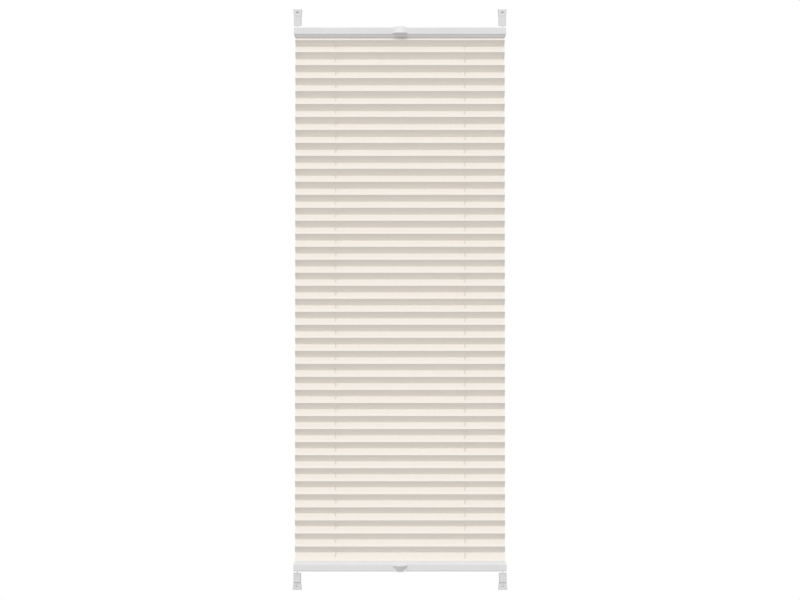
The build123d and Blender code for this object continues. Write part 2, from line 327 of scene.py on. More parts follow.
@dataclass(frozen=True)
class Finish:
    """A colour and gloss, shared by every kind of finish.

    Args:
        name: the material's name, which is also its slot in the record.
        dark: the colour in the low or thin places; the low places of a weave are painted shade.
        light: the colour in the high places.
        roughness: the surface's roughness.
    """

    name: str
    dark: Colour
    light: Colour
    roughness: float

    def start(self) -> tuple[Material, Graph, Node]:
        """Makes the material with its shader.

        Returns:
            The material, its graph and its Principled node.
        """
        material = bpy.data.materials.new(self.name)
        material.use_nodes = True
        graph = Graph(material.node_tree)
        shader = material.node_tree.nodes["Principled BSDF"]
        shader.inputs["Roughness"].default_value = self.roughness
        return material, graph, shader

    def paint(self, graph: Graph, shader: Node, share: NodeSocket) -> None:
        """Colours the surface between the dark and the light colour.

        Args:
            graph: the material's graph.
            shader: its Principled node.
            share: how light each place is, from 0 to 1.
        """
        mix = graph.add("ShaderNodeMix", {0: share}, data_type="RGBA")
        for socket, colour in zip(MIX_COLOURS, (self.dark, self.light)):
            mix.inputs[socket].default_value = (*colour, OPAQUE)
        graph.wire(mix.outputs[MIX_RESULT], shader.inputs["Base Color"])

    def raise_bumps(self, graph: Graph, shader: Node, height: NodeSocket, rise: float) -> None:
        """Gives the surface a relief in which a height of 1 stands out by the rise."""
        bump = graph.add("ShaderNodeBump", {"Height": height, "Distance": rise})
        graph.wire(bump.outputs[0], shader.inputs["Normal"])


@dataclass(frozen=True)
class WovenFinish(Finish):
    """Cloth or braid: threads that cross, on the piece's own UV map in metres.

    Args:
        spacing: from one thread to the next.
        rise: how far the threads stand out.
        slub_scale: how quickly the threads' thickness changes.
        slant: how far the threads are turned, in degrees, as in a braid.
        sheen: how strong the soft edge light of loose fibres is.
        specular: how strongly the fibres' surface reflects.
        creases: the depths between which a fold's crease turns paler, as pressed cloth with a painted sheen, or
            none.
        crease_lift: how much a crease adds to the shade.
    """

    spacing: float
    rise: float
    slub_scale: float
    slant: float = 0.0
    sheen: float = 0.0
    specular: float = 0.2
    creases: tuple[float, float] | None = None
    crease_lift: float = 0.3

    def crease(self, graph: Graph) -> NodeSocket:
        """A paler line along each fold, where the cloth was pressed, with a painted sheen.

        Args:
            graph: the material's graph.

        Returns:
            What the crease and its painted sheen add to the shade.
        """
        # Painted sheen: the colour turns paler near the front and back folds, found by depth.
        depth = graph.parts(graph.add("ShaderNodeTexCoord").outputs["Object"])[1]
        far = graph.maths("ABSOLUTE", graph.maths("SUBTRACT", depth, CLOTH_MIDDLE))
        start, stop = self.creases
        reach = {"From Min": start, "From Max": stop, "To Min": 0.0, "To Max": self.crease_lift}
        return graph.add("ShaderNodeMapRange", {"Value": far, **reach}).outputs[0]

    def material(self, weave: NodeTree) -> Material:
        """Makes the material.

        Args:
            weave: the shared weave group.

        Returns:
            The finished material.
        """
        material, graph, shader = self.start()
        where = graph.add("ShaderNodeUVMap", uv_map="UVMap").outputs[0]
        if self.slant:
            turned = graph.add("ShaderNodeMapping", {0: where})
            turned.inputs["Rotation"].default_value = (0.0, 0.0, math.radians(self.slant))
            where = turned.outputs[0]
        woven = graph.add("ShaderNodeGroup", node_tree=weave)
        woven.inputs["Spacing"].default_value = self.spacing
        woven.inputs["Slub Scale"].default_value = self.slub_scale
        graph.wire(where, woven.inputs["Vector"])
        shade = woven.outputs["Shade"]
        # The folds' crease, with its painted sheen, makes the cloth paler there.
        if self.creases:
            shade = graph.maths("ADD", shade, self.crease(graph))
        self.paint(graph, shader, shade)
        self.raise_bumps(graph, shader, woven.outputs["Height"], self.rise)
        shader.inputs["Sheen Weight"].default_value = self.sheen
        shader.inputs["Specular IOR Level"].default_value = self.specular
        return material


@dataclass(frozen=True)
class GrainedFinish(Finish):
    """Moulded plastic or powder coat, with a faint grain on the object's coordinates.

    Args:
        grain_scale: how fine the grain is.
        rise: how far the grain stands out.
        tone_scale: how quickly the tone changes.
        roughness_change: how much duller the light places are.
    """

    grain_scale: float
    rise: float
    tone_scale: float = 24.0
    roughness_change: float = 0.08

    def material(self, grain: NodeTree) -> Material:
        """Makes the material.

        Args:
            grain: the shared grain group.

        Returns:
            The finished material.
        """
        material, graph, shader = self.start()
        where = graph.add("ShaderNodeTexCoord").outputs["Object"]
        grained = graph.add("ShaderNodeGroup", node_tree=grain)
        grained.inputs["Grain Scale"].default_value = self.grain_scale
        grained.inputs["Tone Scale"].default_value = self.tone_scale
        graph.wire(where, grained.inputs["Vector"])
        tone = grained.outputs["Tone"]
        self.paint(graph, shader, tone)
        self.raise_bumps(graph, shader, grained.outputs["Height"], self.rise)
        duller = graph.maths("MULTIPLY_ADD", tone, self.roughness_change, self.roughness)
        graph.wire(duller, shader.inputs["Roughness"])
        return material


CLOTH = WovenFinish(
    name="cloth",
    dark=(0.84, 0.78, 0.71),
    light=(0.93, 0.895, 0.85),
    roughness=0.88,
    spacing=0.36 * MM,
    rise=0.03 * MM,
    slub_scale=420.0,
    sheen=0.05,
    # Paler creases near the folds, with a painted sheen.
    creases=(7.0 * MM, 7.9 * MM),
)
BRAID = WovenFinish(
    name="cord",
    dark=(0.62, 0.59, 0.54),
    light=(0.86, 0.84, 0.80),
    roughness=0.75,
    spacing=0.28 * MM,
    rise=0.05 * MM,
    slub_scale=900.0,
    slant=45.0,
)
RAIL_COAT = GrainedFinish(
    name="rail_coat",
    dark=(0.74, 0.74, 0.75),
    light=(0.79, 0.79, 0.80),
    roughness=0.34,
    grain_scale=2600.0,
    rise=0.012 * MM,
)
CAP_PLASTIC = GrainedFinish(
    name="cap_plastic",
    dark=(0.75, 0.75, 0.75),
    light=(0.80, 0.80, 0.80),
    roughness=0.42,
    grain_scale=1900.0,
    rise=0.02 * MM,
)
HANDLE_PLASTIC = GrainedFinish(
    name="handle_plastic",
    dark=(0.77, 0.77, 0.78),
    light=(0.82, 0.82, 0.82),
    roughness=0.30,
    grain_scale=1500.0,
    rise=0.01 * MM,
)
SHOE_PLASTIC = GrainedFinish(
    name="shoe_plastic",
    dark=(0.70, 0.70, 0.70),
    light=(0.77, 0.77, 0.77),
    roughness=0.40,
    grain_scale=1900.0,
    rise=0.02 * MM,
)
GUIDE_PLASTIC = GrainedFinish(
    name="guide_plastic",
    dark=(0.68, 0.68, 0.66),
    light=(0.76, 0.76, 0.74),
    roughness=0.25,
    grain_scale=2400.0,
    rise=0.005 * MM,
)
STRIP_PLASTIC = GrainedFinish(
    name="strip_plastic",
    dark=(0.74, 0.74, 0.72),
    light=(0.80, 0.80, 0.78),
    roughness=0.5,
    grain_scale=900.0,
    rise=0.02 * MM,
)
WOVEN = (CLOTH, BRAID)
HARDWARE = {
    "rail": RAIL_COAT,
    "end_cap": CAP_PLASTIC,
    "handle": HANDLE_PLASTIC,
    "shoe": SHOE_PLASTIC,
    "cord_guide": GUIDE_PLASTIC,
    "cloth_strip": STRIP_PLASTIC,
}


class Finishes:
    """Every material of the blind, made once."""

    def __init__(self) -> None:
        """Builds the shared groups and the materials."""
        weave, grain = thread_weave(), fine_grain()
        self.made = {finish.name: finish.material(weave) for finish in WOVEN}
        self.made.update({finish.name: finish.material(grain) for finish in HARDWARE.values()})

    def dress(self, piece: Object, finish: Finish) -> None:
        """Puts a finish on a piece, as its only material.

        Args:
            piece: the object to dress.
            finish: the finish that it gets.
        """
        piece.data.materials.clear()
        piece.data.materials.append(self.made[finish.name])


# ---- Objects and meshes


def placed(name: str, data: ID) -> Object:
    """Puts a new object in the scene, at the origin.

    Args:
        name: the object's name.
        data: its mesh, curve, light or camera.

    Returns:
        The new object.
    """
    thing = bpy.data.objects.new(name, data)
    bpy.context.scene.collection.objects.link(thing)
    return thing


def frozen_mesh(name: str, source: Object) -> Object:
    """Turns an object with modifiers into a plain mesh and removes the source.

    Args:
        name: the new piece's name.
        source: the object whose evaluated shape is kept.

    Returns:
        The new object at the origin, with no modifier.
    """
    bpy.context.view_layer.update()
    evaluated = source.evaluated_get(bpy.context.evaluated_depsgraph_get())
    mesh = bpy.data.meshes.new_from_object(evaluated)
    mesh.name = name
    bpy.data.objects.remove(source)
    return placed(name, mesh)


def shape_by(tree: NodeTree, thing: Object, values: dict[str, object]) -> None:
    """Puts a geometry tree on an object, with its named inputs set by their identifiers.

    Args:
        tree: the geometry tree.
        thing: the object that it shapes.
        values: the value of each named input.
    """
    modifier = thing.modifiers.new(tree.name, "NODES")
    modifier.node_group = tree
    sockets = {
        item.name: item.identifier
        for item in tree.interface.items_tree
        if item.item_type == "SOCKET" and item.in_out == "INPUT"
    }
    for name, value in values.items():
        modifier[sockets[name]] = value


def pleated_sheet_tree() -> NodeTree:
    """The rule that the cloth follows: a line folded to and fro, drawn out sideways.

    Returns:
        A geometry tree whose inputs are the pleats' sizes and the stretch to keep.
    """
    tree = bpy.data.node_groups.new("pleated_sheet", "GeometryNodeTree")
    graph = Graph(tree)
    ports = {
        "Width": FLOAT,
        "Pitch": FLOAT,
        "Depth": FLOAT,
        "Pleats": WHOLE,
        "Middle": FLOAT,
        "Fold Radius": FLOAT,
        "Fold Steps": WHOLE,
        "From": FLOAT,
        "To": FLOAT,
        "Columns": WHOLE,
        "Upper Sag": FLOAT,
        "Lower Sag": FLOAT,
        "Lower Tuck": FLOAT,
        "Waver": FLOAT,
        "Waver Scale": FLOAT,
        "Waver Detail": FLOAT,
        "Material": MATERIAL,
    }
    given, out = graph.ports(ports, {"Geometry": SHAPE})
    get = given.outputs

    # The folds: points half a pitch apart, set forwards and backwards in turn.
    half_pitches = graph.maths("MULTIPLY", get["Pleats"], 2.0)
    height = graph.maths("MULTIPLY", get["Pleats"], get["Pitch"])
    start = graph.vector(Y=get["Middle"], Z=graph.maths("MULTIPLY", height, 0.5))
    step = graph.vector(Z=graph.maths("MULTIPLY", get["Pitch"], -0.5))
    count = graph.maths("ADD", half_pitches, 1.0)
    line = graph.add(
        "GeometryNodeMeshLine",
        {"Count": count, "Start Location": start, "Offset": step},
        mode="OFFSET",
    )
    index = graph.add("GeometryNodeInputIndex").outputs[0]
    behind = graph.maths("MODULO", index, 2.0)
    reach = graph.maths("MULTIPLY", graph.maths("SUBTRACT", behind, 0.5), get["Depth"])

    # The first and last folds hang lower, and the last lies further back.
    is_first = graph.maths("COMPARE", index, 0.0, SAME)
    is_last = graph.maths("COMPARE", index, half_pitches, SAME)
    upper_drop = graph.maths("MULTIPLY", is_first, get["Upper Sag"])
    lower_drop = graph.maths("MULTIPLY", is_last, get["Lower Sag"])
    drop = graph.maths("MULTIPLY", graph.maths("ADD", upper_drop, lower_drop), -1.0)
    tucked = graph.maths("ADD", reach, graph.maths("MULTIPLY", is_last, get["Lower Tuck"]))
    folded = graph.add(
        "GeometryNodeSetPosition",
        {"Geometry": line.outputs[0], "Offset": graph.vector(Y=tucked, Z=drop)},
    )

    # The folds are rounded, and the stretch to keep is cut out of the line.
    curve = graph.add("GeometryNodeMeshToCurve", {0: folded.outputs[0]}).outputs[0]
    roundness = {"Count": get["Fold Steps"], "Radius": get["Fold Radius"], "Limit Radius": True}
    rounded = graph.add("GeometryNodeFilletCurve", {"Curve": curve, **roundness}, mode="POLY")
    trimmed = graph.add(
        "GeometryNodeTrimCurve",
        {"Curve": rounded.outputs[0], TRIM_START: get["From"], TRIM_END: get["To"]},
        mode="LENGTH",
    ).outputs[0]

    # A grid takes the line's shape row by row, with its place on the flat cloth as its map.
    size = graph.add("GeometryNodeAttributeDomainSize", {0: trimmed}, component="CURVE")
    points = size.outputs[0]
    grid = graph.add(
        "GeometryNodeMeshGrid",
        {"Size X": get["Width"], "Size Y": 1.0, "Vertices X": get["Columns"], "Vertices Y": points},
    )
    position = graph.add("GeometryNodeInputPosition").outputs[0]
    place = graph.parts(position)
    last_row = graph.maths("SUBTRACT", points, 1.0)
    share = graph.maths("ADD", place[1], 0.5)
    row = graph.maths("ROUND", graph.maths("MULTIPLY", share, last_row))
    on_line = graph.add(
        "GeometryNodeSampleIndex",
        {"Geometry": trimmed, "Value": position, "Index": row},
        data_type="FLOAT_VECTOR",
    )
    fold = graph.parts(on_line.outputs[0])
    arc = graph.add("GeometryNodeSplineParameter").outputs["Length"]
    run = graph.add(
        "GeometryNodeSampleIndex",
        {"Geometry": trimmed, "Value": arc, "Index": row},
        data_type="FLOAT",
    )
    along = graph.maths("ADD", run.outputs[0], get["From"])
    mapped = graph.mapped(grid.outputs[0], graph.vector(X=place[0], Y=along))
    sheet = graph.add(
        "GeometryNodeSetPosition",
        {"Geometry": mapped, "Position": graph.vector(X=place[0], Y=fold[1], Z=fold[2])},
    )

    # The panels waver a little, as pressed cloth does.
    noise = graph.add(
        "ShaderNodeTexNoise", {"Scale": get["Waver Scale"], "Detail": get["Waver Detail"]}
    )
    swing = graph.maths("MULTIPLY", graph.maths("SUBTRACT", noise.outputs[0], 0.5), get["Waver"])
    wavered = graph.add(
        "GeometryNodeSetPosition", {"Geometry": sheet.outputs[0], "Offset": graph.vector(Y=swing)}
    )
    graph.give_shape(wavered.outputs[0], given, out, smooth=False)
    return tree


def cord_strand_tree() -> NodeTree:
    """A round cord along the curve it is put on, with a map along and around it.

    Returns:
        A geometry tree whose inputs are the cord's sizes.
    """
    tree = bpy.data.node_groups.new("cord_strand", "GeometryNodeTree")
    graph = Graph(tree)
    ports = {"Geometry": SHAPE, "Radius": FLOAT, "Sides": WHOLE, "Material": MATERIAL}
    given, out = graph.ports(ports, {"Geometry": SHAPE})
    get = given.outputs
    line = graph.add("GeometryNodeResampleCurve", {"Curve": get["Geometry"]}, mode="EVALUATED")
    arc = graph.add("GeometryNodeSplineParameter").outputs["Length"]
    along = graph.add("GeometryNodeCaptureAttribute", {0: line.outputs[0]})
    along.capture_items.new("FLOAT", "Along")
    graph.wire(arc, along.inputs[1])
    ring = graph.add(
        "GeometryNodeCurvePrimitiveCircle",
        {"Resolution": get["Sides"], "Radius": get["Radius"]},
        mode="RADIUS",
    )
    turn = graph.add("GeometryNodeSplineParameter").outputs["Factor"]
    around = graph.add("GeometryNodeCaptureAttribute", {0: ring.outputs[0]})
    around.capture_items.new("FLOAT", "Around")
    graph.wire(turn, around.inputs[1])
    tube = graph.add(
        "GeometryNodeCurveToMesh",
        {"Curve": along.outputs[0], "Profile Curve": around.outputs[0], "Fill Caps": True},
    )
    girth = graph.maths("MULTIPLY", get["Radius"], 2 * math.pi)
    wrapped = graph.maths("MULTIPLY", around.outputs[1], girth)
    mapped = graph.mapped(tube.outputs[0], graph.vector(X=wrapped, Y=along.outputs[1]))
    graph.give_shape(mapped, given, out, smooth=True)
    return tree


# ---- Pleated cloth


@dataclass
class PleatedCloth:
    """One sheet folded into pleats, hung between the rails.

    It is shown as two halves that meet at the middle fold, and a flap in each rail's slot;
    the halves ride on the window's body and each flap on its rail's.

    Args:
        finishes: the blind's materials.
        tree: the geometry tree that folds the sheet.
        pleats: how many pleats there are from rail to rail.
        panel: from one fold to the next along the cloth.
        thickness: the cloth's thickness.
        fold_radius: how round a fold is.
        fold_steps: how many points round a fold.
        past_fold: how far past its fold each of the cloth's joins lies.
        columns: how many points lie across the cloth.
        waver: how far the panels waver.
        waver_scale: how quickly they waver along the cloth.
        waver_detail: how uneven the waver is.
        hole_radius: the radius of a cord's hole.
        hole_sides: how many sides a hole has.
        drill_length: how long a drill is, in half heights of the cloth.
        first_fold_drop: from a rail's foot to the nearest fold, before any sag.
        upper_sag: how far the cloth's weight pulls the first fold down.
        lower_sag: how far it pulls the last fold down.
        lower_tuck: how far back the lower rail pushes the last fold.
        slot_half: half the width of a rail's slot.
        rail_wall: the thickness of a rail's lips.
        flap_edge_gap: from the slot's edge to the cloth.
        flap_rise: how far the flap's middle lies above the rail's lips.
        flap_drop: how far below the rail's foot the flap hangs straight.
        node: the frame's piece that the cloth stands for.
    """

    finishes: Finishes
    tree: NodeTree
    pleats: int = 40
    panel: float = 20 * MM
    thickness: float = 0.3 * MM
    fold_radius: float = 0.5 * MM
    fold_steps: int = 3
    past_fold: float = 1.2 * MM
    columns: int = 41
    waver: float = 0.5 * MM
    waver_scale: float = 9.0
    waver_detail: float = 2.0
    hole_radius: float = 0.9 * MM
    hole_sides: int = 24
    drill_length: float = 3.0
    first_fold_drop: float = 3.3 * MM
    upper_sag: float = 2.0 * MM
    lower_sag: float = 3.2 * MM
    lower_tuck: float = 2.9 * MM
    slot_half: float = 2.6 * MM
    rail_wall: float = 1.3 * MM
    flap_edge_gap: float = 0.35 * MM
    flap_rise: float = 0.2 * MM
    flap_drop: float = 0.6 * MM
    node: str = "pleated_cloth"

    def __post_init__(self) -> None:
        """Takes the cloth's place and width from the frame."""
        self.width = CAD_CLOTH[1].x - CAD_CLOTH[0].x
        self.middle = CLOTH_MIDDLE
        self.rail_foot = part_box("top_rail")[0].z
        self.top = self.rail_foot - self.first_fold_drop
        self.pitch = 2 * self.top / self.pleats
        self.depth = math.sqrt(self.panel**2 - (self.pitch / 2) ** 2)
        guide_low, guide_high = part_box("top_cord_guide_right")
        self.hole_x = (guide_low.x + guide_high.x) / 2

    def corner_cut(self) -> float:
        """How much shorter a rounded fold is than a sharp one."""
        half_turn = math.pi / 2 - math.atan2(self.pitch, 2 * self.depth)
        return 2 * self.fold_radius * (math.tan(half_turn) - half_turn)

    def end_fold(self, end: End) -> float:
        """How far from the blind's middle an end's own fold lies, with its sag."""
        return self.top - self.upper_sag if end is End.TOP else self.top + self.lower_sag

    def tuck(self, end: End) -> float:
        """How far back from the other front folds an end's own fold lies."""
        return self.lower_tuck if end is End.BOTTOM else 0.0

    def first_panel(self, end: End) -> float:
        """The length of the panel between an end's own fold and the next one."""
        rise = self.end_fold(end) - (self.top - self.pitch / 2)
        return math.hypot(self.depth - self.tuck(end), rise)

    def holes(self) -> Object:
        """The drills for the cords' holes.

        Returns:
            An object with two upright cylinders.
        """
        bpy.ops.object.select_all(action="DESELECT")
        made = []
        for side in Side:
            low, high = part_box(f"cord_{side.other.word}")
            bpy.ops.mesh.primitive_cylinder_add(
                vertices=self.hole_sides,
                radius=self.hole_radius,
                depth=self.drill_length * self.top,
                location=(side.value * self.hole_x, (low.y + high.y) / 2, 0.0),
            )
            made.append(bpy.context.active_object)
        with bpy.context.temp_override(active_object=made[0], selected_editable_objects=made):
            bpy.ops.object.join()
        return made[0]

    def finish_sheet(self, surface: Object, drills: Object) -> Object:
        """Gives a folded surface its thickness and its cord holes.

        Args:
            surface: the folded surface.
            drills: what cuts the holes.

        Returns:
            The plain mesh of the sheet.
        """
        thick = surface.modifiers.new("thickness", "SOLIDIFY")
        thick.thickness = self.thickness
        thick.offset = 0.0
        drilled = surface.modifiers.new("holes", "BOOLEAN")
        drilled.object = drills
        drilled.solver = "EXACT"
        return frozen_mesh(surface.name.removesuffix("_surface"), surface)

    def span(self, end: End) -> tuple[float, float]:
        """Where an end's half starts and stops, as lengths along the folded line from its top.

        Args:
            end: which rail the half hangs from.

        Returns:
            The two lengths.
        """
        folds = 2 * self.pleats
        plain = (folds - 2) * self.panel - (folds - 1) * self.corner_cut()
        whole = plain + self.first_panel(End.TOP) + self.first_panel(End.BOTTOM)
        seam = self.first_panel(End.TOP) + plain / 2 + self.past_fold
        return (self.past_fold, seam) if end is End.TOP else (seam, whole - self.past_fold)

    def half(self, end: End, drills: Object) -> None:
        """Makes one half of the pleats, from its rail to the middle fold.

        Args:
            end: which rail the half hangs from.
            drills: what cuts the holes.
        """
        start, stop = self.span(end)
        name = f"cloth_{end.word}_half_surface"
        surface = placed(name, bpy.data.meshes.new(name))
        values = {
            "Width": self.width,
            "Pitch": self.pitch,
            "Depth": self.depth,
            "Pleats": self.pleats,
            "Middle": self.middle,
            "Fold Radius": self.fold_radius,
            "Fold Steps": self.fold_steps,
            "From": start,
            "To": stop,
            "Columns": self.columns,
            "Upper Sag": self.upper_sag,
            "Lower Sag": self.lower_sag,
            "Lower Tuck": self.lower_tuck,
            "Waver": self.waver,
            "Waver Scale": self.waver_scale,
            "Waver Detail": self.waver_detail,
            "Material": self.finishes.made[CLOTH.name],
        }
        shape_by(self.tree, surface, values)
        sheet = self.finish_sheet(surface, drills)
        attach(sheet, Body.WINDOW.value)
        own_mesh(sheet)
        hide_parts(self.node)

    def flap_route(self, end: End) -> list[tuple[float, float]]:
        """The line of a flap, from inside its rail's slot to just past the end's own fold.

        Args:
            end: which rail holds the flap.

        Returns:
            Each point's Y and how far it lies from the blind's middle.
        """
        slot_front = self.middle - self.slot_half + self.flap_edge_gap + self.thickness / 2
        slot_back = self.middle + self.slot_half - 2 * self.flap_edge_gap
        inside = self.rail_foot + self.rail_wall + self.flap_rise
        front = self.middle - self.depth / 2 + self.tuck(end)
        back = self.middle + self.depth / 2
        fold = self.end_fold(end)
        share = self.past_fold / self.first_panel(end)
        seam = fold - (fold - (self.top - self.pitch / 2)) * share
        return [
            (slot_back, inside),
            (slot_front, inside),
            (slot_front, self.rail_foot - self.flap_drop),
            (front, fold),
            (front + (back - front) * share, seam),
        ]

    def flap(self, end: End, drills: Object) -> None:
        """Makes the cloth's end, from the seam past its own fold up into the rail's slot.

        Args:
            end: which rail holds it.
            drills: what cuts the holes.
        """
        route = self.flap_route(end)
        runs = [0.0, *accumulate(math.dist(a, b) for a, b in pairwise(route))]
        across = self.columns
        xs = [self.width * (i / (across - 1) - 0.5) for i in range(across)]
        points = [(x, y, end.value * z) for y, z in route for x in xs]
        faces = []
        for row in range(len(route) - 1):
            for column in range(across - 1):
                a = row * across + column
                face = (a, a + 1, a + across + 1, a + across)
                faces.append(face if end is End.BOTTOM else face[::-1])
        mesh = bpy.data.meshes.new(f"cloth_{end.word}_flap_surface")
        mesh.from_pydata(points, [], faces)
        uv = mesh.uv_layers.new(name="UVMap")
        for loop in mesh.loops:
            row, column = divmod(loop.vertex_index, across)
            uv.data[loop.index].uv = (xs[column], runs[row])
        mesh.materials.append(self.finishes.made[CLOTH.name])
        sheet = self.finish_sheet(placed(mesh.name, mesh), drills)
        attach(sheet, end.body.value)
        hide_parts(self.node)

    def build(self) -> None:
        """Makes the two halves and the two flaps."""
        drills = self.holes()
        for end in End:
            self.half(end, drills)
            self.flap(end, drills)
        bpy.data.objects.remove(drills)


# ---- Cords


@dataclass
class TensionCord:
    """One cord, from a knot in its upper shoe to a knot in its lower shoe.

    It is cut where it passes from one body to the next: an outer strand from each shoe into
    its rail, a strand along each rail and a strand through the cloth from each rail to the middle.

    Args:
        finishes: the blind's materials.
        tree: the geometry tree that makes a strand.
        side: which side its shoes are on.
        radius: the cord's radius.
        turn_reach: how far from a turn in a rail its neighbouring points lie.
        smoothness: how finely the line is divided between its points.
        sides: how many sides the cord has.
        knot_radius: the knot's radius.
        knot_points: how many points the knot's line has.
        knot_stretch: how much taller than a flat loop the knot is.
        blend_margin: a margin inside the gap between shoe and rail, which is not used.
        rail_wall: the thickness of a rail's wall.
        guide_flange: the thickness of a cord guide's flange.
    """

    finishes: Finishes
    tree: NodeTree
    side: Side
    radius: float = 0.5 * MM
    turn_reach: float = 3 * MM
    smoothness: int = 8
    sides: int = 12
    knot_radius: float = 1.6 * MM
    knot_points: int = 30
    knot_stretch: float = 1.4
    blend_margin: float = 0.5 * MM
    rail_wall: float = 1.3 * MM
    guide_flange: float = 1.2 * MM

    def __post_init__(self) -> None:
        """Takes the cord's places from the frame."""
        self.word = f"cord_{self.side.word}"
        low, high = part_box(self.word)
        self.y = (low.y + high.y) / 2
        self.knot_z = high.z - self.knot_radius
        sign = self.side.value
        self.end_x = sign * (max(abs(low.x), abs(high.x)) - self.knot_radius)
        self.through_x = -sign * (min(abs(low.x), abs(high.x)) - self.radius)
        chamber_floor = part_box("top_cord_guide_left")[1].z - self.guide_flange
        chamber_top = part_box("top_end_cap_right")[1].z - self.rail_wall
        self.level = (chamber_floor + chamber_top) / 2
        self.above = self.level + self.turn_reach
        self.below = self.level - self.turn_reach

    def strand(self, name: str, route: list[Point], looped: bool = False) -> Object:
        """A stretch of the cord.

        Args:
            name: the stretch's name.
            route: the control points of its line, at rest.
            looped: true where it closes on itself.

        Returns:
            The finished mesh, dressed and with its slot.
        """
        data = bpy.data.curves.new(name, "CURVE")
        data.dimensions = "3D"
        spline = data.splines.new("NURBS")
        spline.points.add(len(route) - 1)
        for point, place in zip(spline.points, route):
            point.co = (*place, 1.0)
        spline.order_u = 3
        spline.use_endpoint_u = not looped
        spline.use_cyclic_u = looped
        spline.resolution_u = self.smoothness
        holder = placed(f"{name}_line", data)
        material = self.finishes.made[BRAID.name]
        values = {"Radius": self.radius, "Sides": self.sides, "Material": material}
        shape_by(self.tree, holder, values)
        piece = frozen_mesh(name, holder)
        log.info("%s: %d points in its line", name, len(route))
        return piece

    def outer(self, end: End) -> Object:
        """The stretch from a shoe's knot into the rail.

        Args:
            end: which shoe it starts in.

        Returns:
            The finished strand.
        """
        sign = end.value
        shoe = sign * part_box(f"top_shoe_cover_{self.side.word}")[0].z
        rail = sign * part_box("top_rail")[1].z
        heights = [sign * self.knot_z, shoe, (shoe + rail) / 2, rail, sign * self.above]
        route = [(self.end_x, self.y, height) for height in heights]
        piece = self.strand(f"{self.word}_{end.word}_outer", route)
        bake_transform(piece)
        return piece

    def in_rail(self, end: End) -> Object:
        """The stretch along a rail's chamber, from one side to the other.

        Args:
            end: which rail it lies in.

        Returns:
            The finished strand.
        """
        inwards = math.copysign(self.turn_reach, self.end_x)
        places = [
            (self.end_x, self.above),
            (self.end_x, self.level),
            (self.end_x - inwards, self.level),
            (self.through_x + inwards, self.level),
            (self.through_x, self.level),
            (self.through_x, self.below),
        ]
        route = [(x, self.y, end.value * height) for x, height in places]
        piece = self.strand(f"{self.word}_{end.word}_in_rail", route)
        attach(piece, end.body.value)
        return piece

    def in_cloth(self, end: End) -> Object:
        """The stretch through the pleats, from a rail to the middle.

        Args:
            end: which rail it comes from.

        Returns:
            The finished strand.
        """
        route = [(self.through_x, self.y, end.value * height) for height in (self.below, 0.0)]
        piece = self.strand(f"{self.word}_{end.word}_in_cloth", route)
        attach(piece, Body.WINDOW.value)
        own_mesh(piece)
        return piece

    def knot(self, end: End) -> Object:
        """The overhand knot in a shoe's pocket, a closed line that crosses itself three times.

        Args:
            end: which shoe it sits in.

        Returns:
            The finished knot.
        """
        scale = (self.knot_radius - self.radius) / 3
        route = []
        for i in range(self.knot_points):
            t = 2 * math.pi * i / self.knot_points
            x = scale * (math.sin(t) + 2 * math.sin(2 * t))
            y = scale * (math.cos(t) - 2 * math.cos(2 * t))
            z = scale * self.knot_stretch * -math.sin(3 * t)
            route.append((self.end_x + x, self.y + y, end.value * (self.knot_z + z)))
        piece = self.strand(f"{self.word}_{end.word}_knot", route, looped=True)
        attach(piece, Body.WINDOW.value)
        return piece

    def build(self) -> None:
        """Makes the strands and knots at both ends."""
        for end in End:
            for piece in (self.outer(end), self.in_rail(end), self.in_cloth(end), self.knot(end)):
                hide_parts(self.word)


# ---- Rails and mouldings


